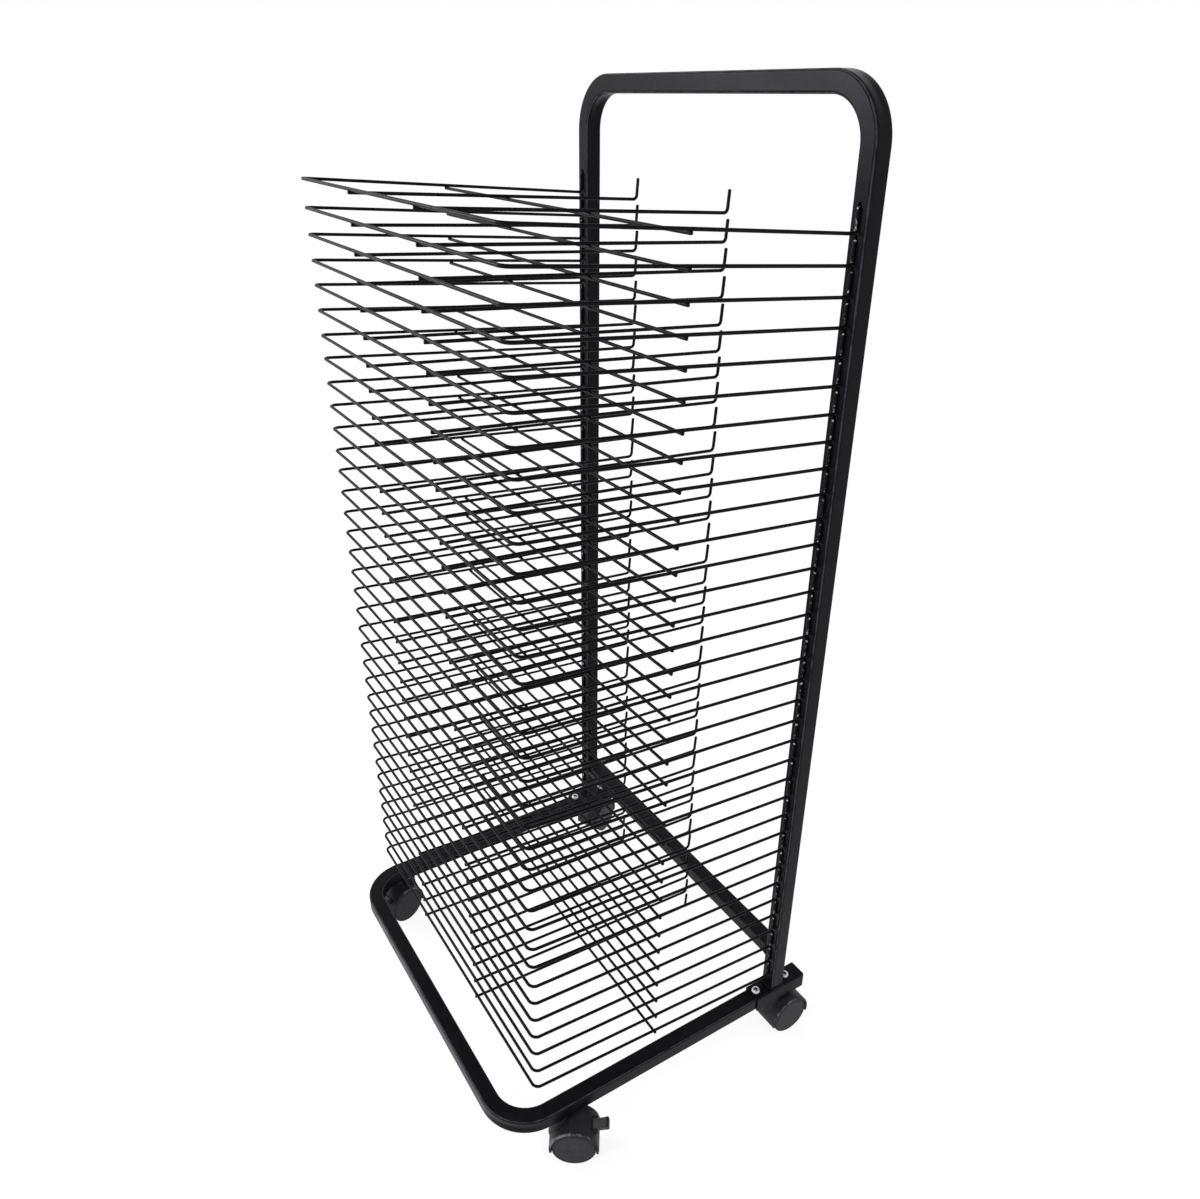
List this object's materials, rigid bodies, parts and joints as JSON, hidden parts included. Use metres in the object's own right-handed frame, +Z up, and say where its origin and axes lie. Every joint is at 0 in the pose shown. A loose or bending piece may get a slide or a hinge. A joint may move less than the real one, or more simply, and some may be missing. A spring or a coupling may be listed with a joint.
{
  "type": "art drying rack",
  "caption": "Wheeled steel rack with a tall stack of hinged wire shelves between two posts, for drying wet sheets of artwork flat.",
  "frame": {"origin": "on the floor, at the middle of the rack's width and depth", "axes": "+Z up; -Y towards the open front of the shelves; +X to the right when looking along +Y"},
  "size_m": [0.5167, 0.4307, 1.083],
  "materials": {
    "frame_powder_coat": "satin",
    "shelf_wire_coat": "satin",
    "caster_plastic": "matte",
    "end_plug_plastic": "matte",
    "bolt_steel": "zinc plated",
    "axle_steel": "bright drawn"
  },
  "bodies": {
    "frame": {"rear_frame": "frame_powder_coat", "rear_cross_rail": "frame_powder_coat", "base_frame": "frame_powder_coat", "foot_brackets": "frame_powder_coat", "foot_bolts": "bolt_steel", "arm_end_plugs": "end_plug_plastic", "caster_stems": "axle_steel"},
    "shelf_01": {"shelf_01": "shelf_wire_coat"},
    "shelf_02": {"shelf_02": "shelf_wire_coat"},
    "shelf_03": {"shelf_03": "shelf_wire_coat"},
    "shelf_04": {"shelf_04": "shelf_wire_coat"},
    "shelf_05": {"shelf_05": "shelf_wire_coat"},
    "shelf_06": {"shelf_06": "shelf_wire_coat"},
    "shelf_07": {"shelf_07": "shelf_wire_coat"},
    "shelf_08": {"shelf_08": "shelf_wire_coat"},
    "shelf_09": {"shelf_09": "shelf_wire_coat"},
    "shelf_10": {"shelf_10": "shelf_wire_coat"},
    "shelf_11": {"shelf_11": "shelf_wire_coat"},
    "shelf_12": {"shelf_12": "shelf_wire_coat"},
    "shelf_13": {"shelf_13": "shelf_wire_coat"},
    "shelf_14": {"shelf_14": "shelf_wire_coat"},
    "shelf_15": {"shelf_15": "shelf_wire_coat"},
    "shelf_16": {"shelf_16": "shelf_wire_coat"},
    "shelf_17": {"shelf_17": "shelf_wire_coat"},
    "shelf_18": {"shelf_18": "shelf_wire_coat"},
    "shelf_19": {"shelf_19": "shelf_wire_coat"},
    "shelf_20": {"shelf_20": "shelf_wire_coat"},
    "shelf_21": {"shelf_21": "shelf_wire_coat"},
    "shelf_22": {"shelf_22": "shelf_wire_coat"},
    "shelf_23": {"shelf_23": "shelf_wire_coat"},
    "shelf_24": {"shelf_24": "shelf_wire_coat"},
    "shelf_25": {"shelf_25": "shelf_wire_coat"},
    "shelf_26": {"shelf_26": "shelf_wire_coat"},
    "shelf_27": {"shelf_27": "shelf_wire_coat"},
    "shelf_28": {"shelf_28": "shelf_wire_coat"},
    "shelf_29": {"shelf_29": "shelf_wire_coat"},
    "shelf_30": {"shelf_30": "shelf_wire_coat"},
    "shelf_31": {"shelf_31": "shelf_wire_coat"},
    "shelf_32": {"shelf_32": "shelf_wire_coat"},
    "shelf_33": {"shelf_33": "shelf_wire_coat"},
    "shelf_34": {"shelf_34": "shelf_wire_coat"},
    "shelf_35": {"shelf_35": "shelf_wire_coat"},
    "front_right_swivel": {"front_right_caster_hood": "caster_plastic", "front_right_caster_axle": "axle_steel"},
    "front_right_wheel_a": {"front_right_wheel_a": "caster_plastic"},
    "front_right_wheel_b": {"front_right_wheel_b": "caster_plastic"},
    "front_right_brake_lever": {"front_right_brake_lever": "caster_plastic"},
    "front_left_swivel": {"front_left_caster_hood": "caster_plastic", "front_left_caster_axle": "axle_steel"},
    "front_left_wheel_a": {"front_left_wheel_a": "caster_plastic"},
    "front_left_wheel_b": {"front_left_wheel_b": "caster_plastic"},
    "front_left_brake_lever": {"front_left_brake_lever": "caster_plastic"},
    "rear_right_swivel": {"rear_right_caster_hood": "caster_plastic", "rear_right_caster_axle": "axle_steel"},
    "rear_right_wheel_a": {"rear_right_wheel_a": "caster_plastic"},
    "rear_right_wheel_b": {"rear_right_wheel_b": "caster_plastic"},
    "rear_left_swivel": {"rear_left_caster_hood": "caster_plastic", "rear_left_caster_axle": "axle_steel"},
    "rear_left_wheel_a": {"rear_left_wheel_a": "caster_plastic"},
    "rear_left_wheel_b": {"rear_left_wheel_b": "caster_plastic"}
  },
  "joints": [
    {"name": "shelf_01_lift", "type": "hinge", "parent": "frame", "child": "shelf_01", "pos_m": [0, 0.1566, 0.11673], "axis": [-1, 0, 0], "range_deg": [0, 3]},
    {"name": "shelf_02_lift", "type": "hinge", "parent": "frame", "child": "shelf_02", "pos_m": [0, 0.1566, 0.14213], "axis": [-1, 0, 0], "range_deg": [0, 3]},
    {"name": "shelf_03_lift", "type": "hinge", "parent": "frame", "child": "shelf_03", "pos_m": [0, 0.1566, 0.16753], "axis": [-1, 0, 0], "range_deg": [0, 3]},
    {"name": "shelf_04_lift", "type": "hinge", "parent": "frame", "child": "shelf_04", "pos_m": [0, 0.1566, 0.19293], "axis": [-1, 0, 0], "range_deg": [0, 3]},
    {"name": "shelf_05_lift", "type": "hinge", "parent": "frame", "child": "shelf_05", "pos_m": [0, 0.1566, 0.21833], "axis": [-1, 0, 0], "range_deg": [0, 3]},
    {"name": "shelf_06_lift", "type": "hinge", "parent": "frame", "child": "shelf_06", "pos_m": [0, 0.1566, 0.24373], "axis": [-1, 0, 0], "range_deg": [0, 3]},
    {"name": "shelf_07_lift", "type": "hinge", "parent": "frame", "child": "shelf_07", "pos_m": [0, 0.1566, 0.26913], "axis": [-1, 0, 0], "range_deg": [0, 3]},
    {"name": "shelf_08_lift", "type": "hinge", "parent": "frame", "child": "shelf_08", "pos_m": [0, 0.1566, 0.29453], "axis": [-1, 0, 0], "range_deg": [0, 3]},
    {"name": "shelf_09_lift", "type": "hinge", "parent": "frame", "child": "shelf_09", "pos_m": [0, 0.1566, 0.31993], "axis": [-1, 0, 0], "range_deg": [0, 3]},
    {"name": "shelf_10_lift", "type": "hinge", "parent": "frame", "child": "shelf_10", "pos_m": [0, 0.1566, 0.34533], "axis": [-1, 0, 0], "range_deg": [0, 3]},
    {"name": "shelf_11_lift", "type": "hinge", "parent": "frame", "child": "shelf_11", "pos_m": [0, 0.1566, 0.37073], "axis": [-1, 0, 0], "range_deg": [0, 3]},
    {"name": "shelf_12_lift", "type": "hinge", "parent": "frame", "child": "shelf_12", "pos_m": [0, 0.1566, 0.39613], "axis": [-1, 0, 0], "range_deg": [0, 3]},
    {"name": "shelf_13_lift", "type": "hinge", "parent": "frame", "child": "shelf_13", "pos_m": [0, 0.1566, 0.42153], "axis": [-1, 0, 0], "range_deg": [0, 3]},
    {"name": "shelf_14_lift", "type": "hinge", "parent": "frame", "child": "shelf_14", "pos_m": [0, 0.1566, 0.44693], "axis": [-1, 0, 0], "range_deg": [0, 3]},
    {"name": "shelf_15_lift", "type": "hinge", "parent": "frame", "child": "shelf_15", "pos_m": [0, 0.1566, 0.47233], "axis": [-1, 0, 0], "range_deg": [0, 3]},
    {"name": "shelf_16_lift", "type": "hinge", "parent": "frame", "child": "shelf_16", "pos_m": [0, 0.1566, 0.49773], "axis": [-1, 0, 0], "range_deg": [0, 3]},
    {"name": "shelf_17_lift", "type": "hinge", "parent": "frame", "child": "shelf_17", "pos_m": [0, 0.1566, 0.52313], "axis": [-1, 0, 0], "range_deg": [0, 3]},
    {"name": "shelf_18_lift", "type": "hinge", "parent": "frame", "child": "shelf_18", "pos_m": [0, 0.1566, 0.54853], "axis": [-1, 0, 0], "range_deg": [0, 3]},
    {"name": "shelf_19_lift", "type": "hinge", "parent": "frame", "child": "shelf_19", "pos_m": [0, 0.1566, 0.57393], "axis": [-1, 0, 0], "range_deg": [0, 3]},
    {"name": "shelf_20_lift", "type": "hinge", "parent": "frame", "child": "shelf_20", "pos_m": [0, 0.1566, 0.59933], "axis": [-1, 0, 0], "range_deg": [0, 3]},
    {"name": "shelf_21_lift", "type": "hinge", "parent": "frame", "child": "shelf_21", "pos_m": [0, 0.1566, 0.62473], "axis": [-1, 0, 0], "range_deg": [0, 3]},
    {"name": "shelf_22_lift", "type": "hinge", "parent": "frame", "child": "shelf_22", "pos_m": [0, 0.1566, 0.65013], "axis": [-1, 0, 0], "range_deg": [0, 3]},
    {"name": "shelf_23_lift", "type": "hinge", "parent": "frame", "child": "shelf_23", "pos_m": [0, 0.1566, 0.67553], "axis": [-1, 0, 0], "range_deg": [0, 3]},
    {"name": "shelf_24_lift", "type": "hinge", "parent": "frame", "child": "shelf_24", "pos_m": [0, 0.1566, 0.70093], "axis": [-1, 0, 0], "range_deg": [0, 3]},
    {"name": "shelf_25_lift", "type": "hinge", "parent": "frame", "child": "shelf_25", "pos_m": [0, 0.1566, 0.72633], "axis": [-1, 0, 0], "range_deg": [0, 3]},
    {"name": "shelf_26_lift", "type": "hinge", "parent": "frame", "child": "shelf_26", "pos_m": [0, 0.1566, 0.75173], "axis": [-1, 0, 0], "range_deg": [0, 3]},
    {"name": "shelf_27_lift", "type": "hinge", "parent": "frame", "child": "shelf_27", "pos_m": [0, 0.1566, 0.77713], "axis": [-1, 0, 0], "range_deg": [0, 3]},
    {"name": "shelf_28_lift", "type": "hinge", "parent": "frame", "child": "shelf_28", "pos_m": [0, 0.1566, 0.80253], "axis": [-1, 0, 0], "range_deg": [0, 3]},
    {"name": "shelf_29_lift", "type": "hinge", "parent": "frame", "child": "shelf_29", "pos_m": [0, 0.1566, 0.82793], "axis": [-1, 0, 0], "range_deg": [0, 3]},
    {"name": "shelf_30_lift", "type": "hinge", "parent": "frame", "child": "shelf_30", "pos_m": [0, 0.1566, 0.85333], "axis": [-1, 0, 0], "range_deg": [0, 3]},
    {"name": "shelf_31_lift", "type": "hinge", "parent": "frame", "child": "shelf_31", "pos_m": [0, 0.1566, 0.87873], "axis": [-1, 0, 0], "range_deg": [0, 3]},
    {"name": "shelf_32_lift", "type": "hinge", "parent": "frame", "child": "shelf_32", "pos_m": [0, 0.1566, 0.90413], "axis": [-1, 0, 0], "range_deg": [0, 3]},
    {"name": "shelf_33_lift", "type": "hinge", "parent": "frame", "child": "shelf_33", "pos_m": [0, 0.1566, 0.92953], "axis": [-1, 0, 0], "range_deg": [0, 3]},
    {"name": "shelf_34_lift", "type": "hinge", "parent": "frame", "child": "shelf_34", "pos_m": [0, 0.1566, 0.95493], "axis": [-1, 0, 0], "range_deg": [0, 3]},
    {"name": "shelf_35_lift", "type": "hinge", "parent": "frame", "child": "shelf_35", "pos_m": [0, 0.1566, 0.98033], "axis": [-1, 0, 0], "range_deg": [0, 90]},
    {"name": "front_right_swivel_turn", "type": "hinge", "parent": "frame", "child": "front_right_swivel", "pos_m": [0.2185, -0.1436, 0.05], "axis": [0, 0, 1], "continuous": true},
    {"name": "front_right_wheel_a_spin", "type": "hinge", "parent": "front_right_swivel", "child": "front_right_wheel_a", "pos_m": [0.22843, -0.12859, 0.025], "axis": [-0.8339, 0.5519, 0], "continuous": true},
    {"name": "front_right_wheel_b_spin", "type": "hinge", "parent": "front_right_swivel", "child": "front_right_wheel_b", "pos_m": [0.22843, -0.12859, 0.025], "axis": [-0.8339, 0.5519, 0], "continuous": true},
    {"name": "front_right_brake_lever_press", "type": "hinge", "parent": "front_right_swivel", "child": "front_right_brake_lever", "pos_m": [0.24131, -0.10914, 0.04322], "axis": [-0.8339, 0.5519, 0], "range_deg": [0, 25]},
    {"name": "front_left_swivel_turn", "type": "hinge", "parent": "frame", "child": "front_left_swivel", "pos_m": [-0.2185, -0.1436, 0.05], "axis": [0, 0, 1], "continuous": true},
    {"name": "front_left_wheel_a_spin", "type": "hinge", "parent": "front_left_swivel", "child": "front_left_wheel_a", "pos_m": [-0.21309, -0.16077, 0.025], "axis": [0.9537, 0.3007, 0], "continuous": true},
    {"name": "front_left_wheel_b_spin", "type": "hinge", "parent": "front_left_swivel", "child": "front_left_wheel_b", "pos_m": [-0.21309, -0.16077, 0.025], "axis": [0.9537, 0.3007, 0], "continuous": true},
    {"name": "front_left_brake_lever_press", "type": "hinge", "parent": "front_left_swivel", "child": "front_left_brake_lever", "pos_m": [-0.20607, -0.18301, 0.04322], "axis": [0.9537, 0.3007, 0], "range_deg": [0, 25]},
    {"name": "rear_right_swivel_turn", "type": "hinge", "parent": "frame", "child": "rear_right_swivel", "pos_m": [0.2185, 0.1674, 0.05], "axis": [0, 0, 1], "continuous": true},
    {"name": "rear_right_wheel_a_spin", "type": "hinge", "parent": "rear_right_swivel", "child": "rear_right_wheel_a", "pos_m": [0.2185, 0.1854, 0.025], "axis": [-1, 0, 0], "continuous": true},
    {"name": "rear_right_wheel_b_spin", "type": "hinge", "parent": "rear_right_swivel", "child": "rear_right_wheel_b", "pos_m": [0.2185, 0.1854, 0.025], "axis": [-1, 0, 0], "continuous": true},
    {"name": "rear_left_swivel_turn", "type": "hinge", "parent": "frame", "child": "rear_left_swivel", "pos_m": [-0.2185, 0.1674, 0.05], "axis": [0, 0, 1], "continuous": true},
    {"name": "rear_left_wheel_a_spin", "type": "hinge", "parent": "rear_left_swivel", "child": "rear_left_wheel_a", "pos_m": [-0.22695, 0.18329, 0.025], "axis": [-0.8829, -0.4695, 0], "continuous": true},
    {"name": "rear_left_wheel_b_spin", "type": "hinge", "parent": "rear_left_swivel", "child": "rear_left_wheel_b", "pos_m": [-0.22695, 0.18329, 0.025], "axis": [-0.8829, -0.4695, 0], "continuous": true}
  ]
}
